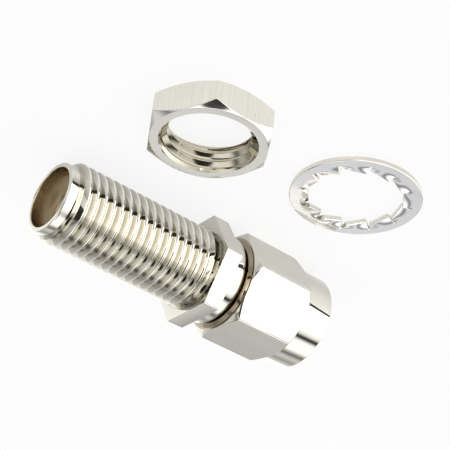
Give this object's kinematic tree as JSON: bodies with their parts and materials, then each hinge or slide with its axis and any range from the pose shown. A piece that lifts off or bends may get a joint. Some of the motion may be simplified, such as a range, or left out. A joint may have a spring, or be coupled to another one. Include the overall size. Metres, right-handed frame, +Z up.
{
  "type": "sma bulkhead adapter",
  "caption": "Coaxial jack-to-plug bulkhead adapter with a long threaded barrel, a hex flange, a free coupling nut, and its lock nut and toothed lock washer laid beside it.",
  "frame": {"origin": "on the connector's axis, at the front face of the hex flange, the face that seats on a panel", "axes": "+X along the connector's axis, out of the jack's mouth; +Z up from the table that the flats, the lock nut and the lock washer lie on"},
  "size_m": [0.0235, 0.0212, 0.0074],
  "materials": {
    "bright_nickel": "mirror-bright nickel plate on turned brass",
    "satin_nickel": "bright nickel plate over finely brushed flats",
    "washer_nickel": "nickel-plated spring bronze",
    "spring_bronze": "plain spring bronze",
    "contact_gold": "gold-plated contact",
    "insulator_white": "turned white insulator plastic",
    "gasket_rubber": "soft silicone rubber"
  },
  "bodies": {
    "adapter": {"adapter_body": "bright_nickel", "plug_body": "bright_nickel", "front_insulator": "insulator_white", "rear_insulator": "insulator_white", "center_contact": "contact_gold", "gasket": "gasket_rubber", "lock_nut": "satin_nickel", "lock_washer": "washer_nickel"},
    "ring": {"retaining_ring": "spring_bronze"},
    "nut": {"coupling_nut": "bright_nickel"}
  },
  "joints": [
    {"name": "ring_play", "type": "slide", "parent": "adapter", "child": "ring", "axis": [1, 0, 0], "range_m": [-0.00012, 0.00012]},
    {"name": "nut_spin", "type": "hinge", "parent": "ring", "child": "nut", "pos_m": [-0.00395, 0, 0], "axis": [1, 0, 0], "continuous": true}
  ]
}
